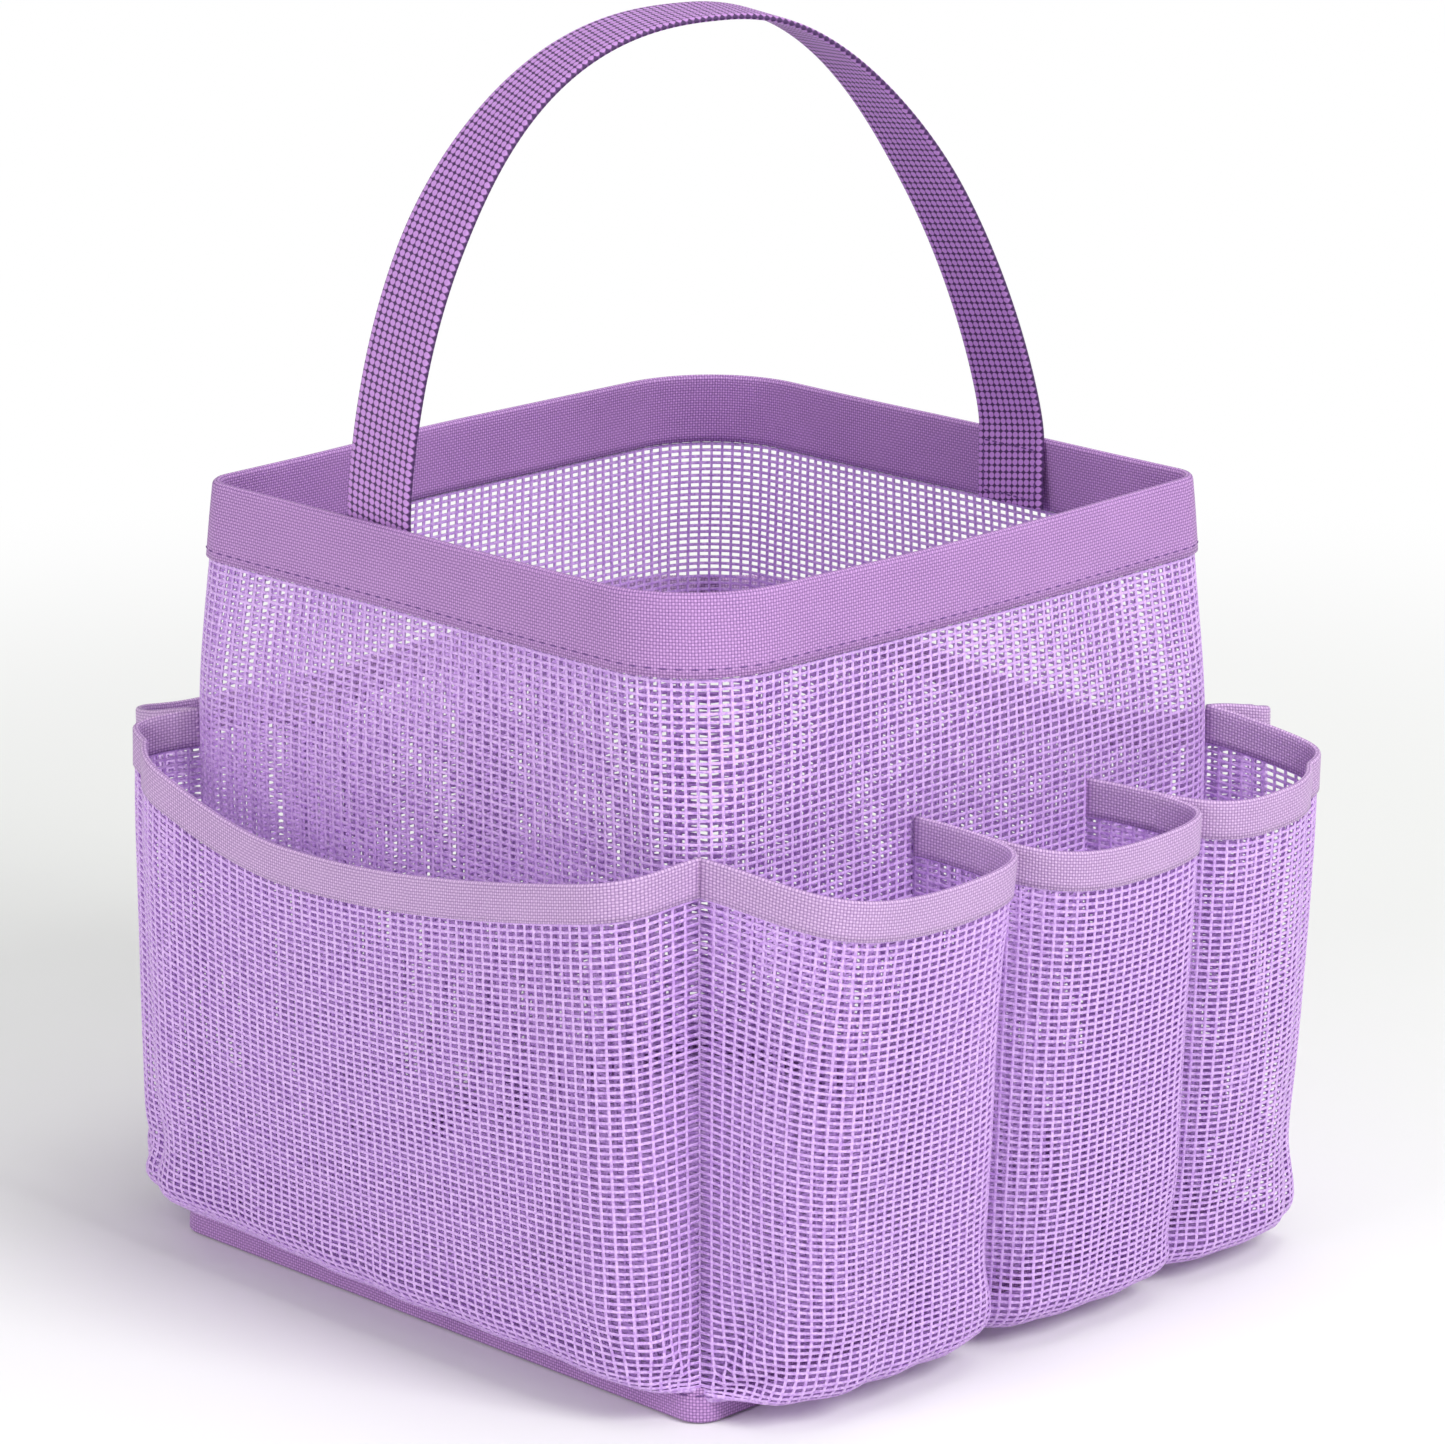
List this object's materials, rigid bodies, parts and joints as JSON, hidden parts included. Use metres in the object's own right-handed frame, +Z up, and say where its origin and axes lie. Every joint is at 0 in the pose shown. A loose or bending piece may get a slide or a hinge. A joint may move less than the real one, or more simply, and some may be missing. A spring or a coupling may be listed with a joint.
{
  "type": "shower caddy",
  "caption": "Square soft-sided shower caddy of open mesh with a folded rim band, outside pockets all round and one arched webbing handle.",
  "frame": {"origin": "middle of the base, on the surface the caddy stands on", "axes": "+Z up; X along the wide front and back pockets, with the front pocket facing -Y; +Y towards the back pocket"},
  "size_m": [0.2894, 0.26, 0.359],
  "materials": {
    "mesh": "coated open mesh, slightly glossy",
    "tape": "closely woven tape, slight sheen",
    "webbing": "coarse woven webbing",
    "thread": "sewing thread"
  },
  "bodies": {
    "caddy": {"wall_mesh": "mesh", "base_mesh": "mesh", "rim_band": "tape", "base_binding": "tape", "base_binding_stitching": "thread", "rim_band_stitching": "thread", "front_pocket_mesh": "mesh", "front_pocket_hem": "tape", "back_pocket_mesh": "mesh", "back_pocket_hem": "tape", "right_pocket_1_mesh": "mesh", "right_pocket_1_hem": "tape", "right_pocket_2_mesh": "mesh", "right_pocket_2_hem": "tape", "right_pocket_3_mesh": "mesh", "right_pocket_3_hem": "tape", "left_pocket_1_mesh": "mesh", "left_pocket_1_hem": "tape", "left_pocket_2_mesh": "mesh", "left_pocket_2_hem": "tape", "left_pocket_3_mesh": "mesh", "left_pocket_3_hem": "tape", "front_handle_end": "webbing", "front_handle_stitching": "thread", "back_handle_end": "webbing", "back_handle_stitching": "thread", "pocket_bar_tacks": "thread", "pocket_divider_threads": "thread"},
    "handle": {"handle_strap": "webbing"}
  },
  "joints": [
    {"name": "handle_swing", "type": "hinge", "parent": "caddy", "child": "handle", "pos_m": [0, 0, 0.2396], "axis": [0.2626, 0.9649, 0], "range_deg": [-85, 85]}
  ]
}
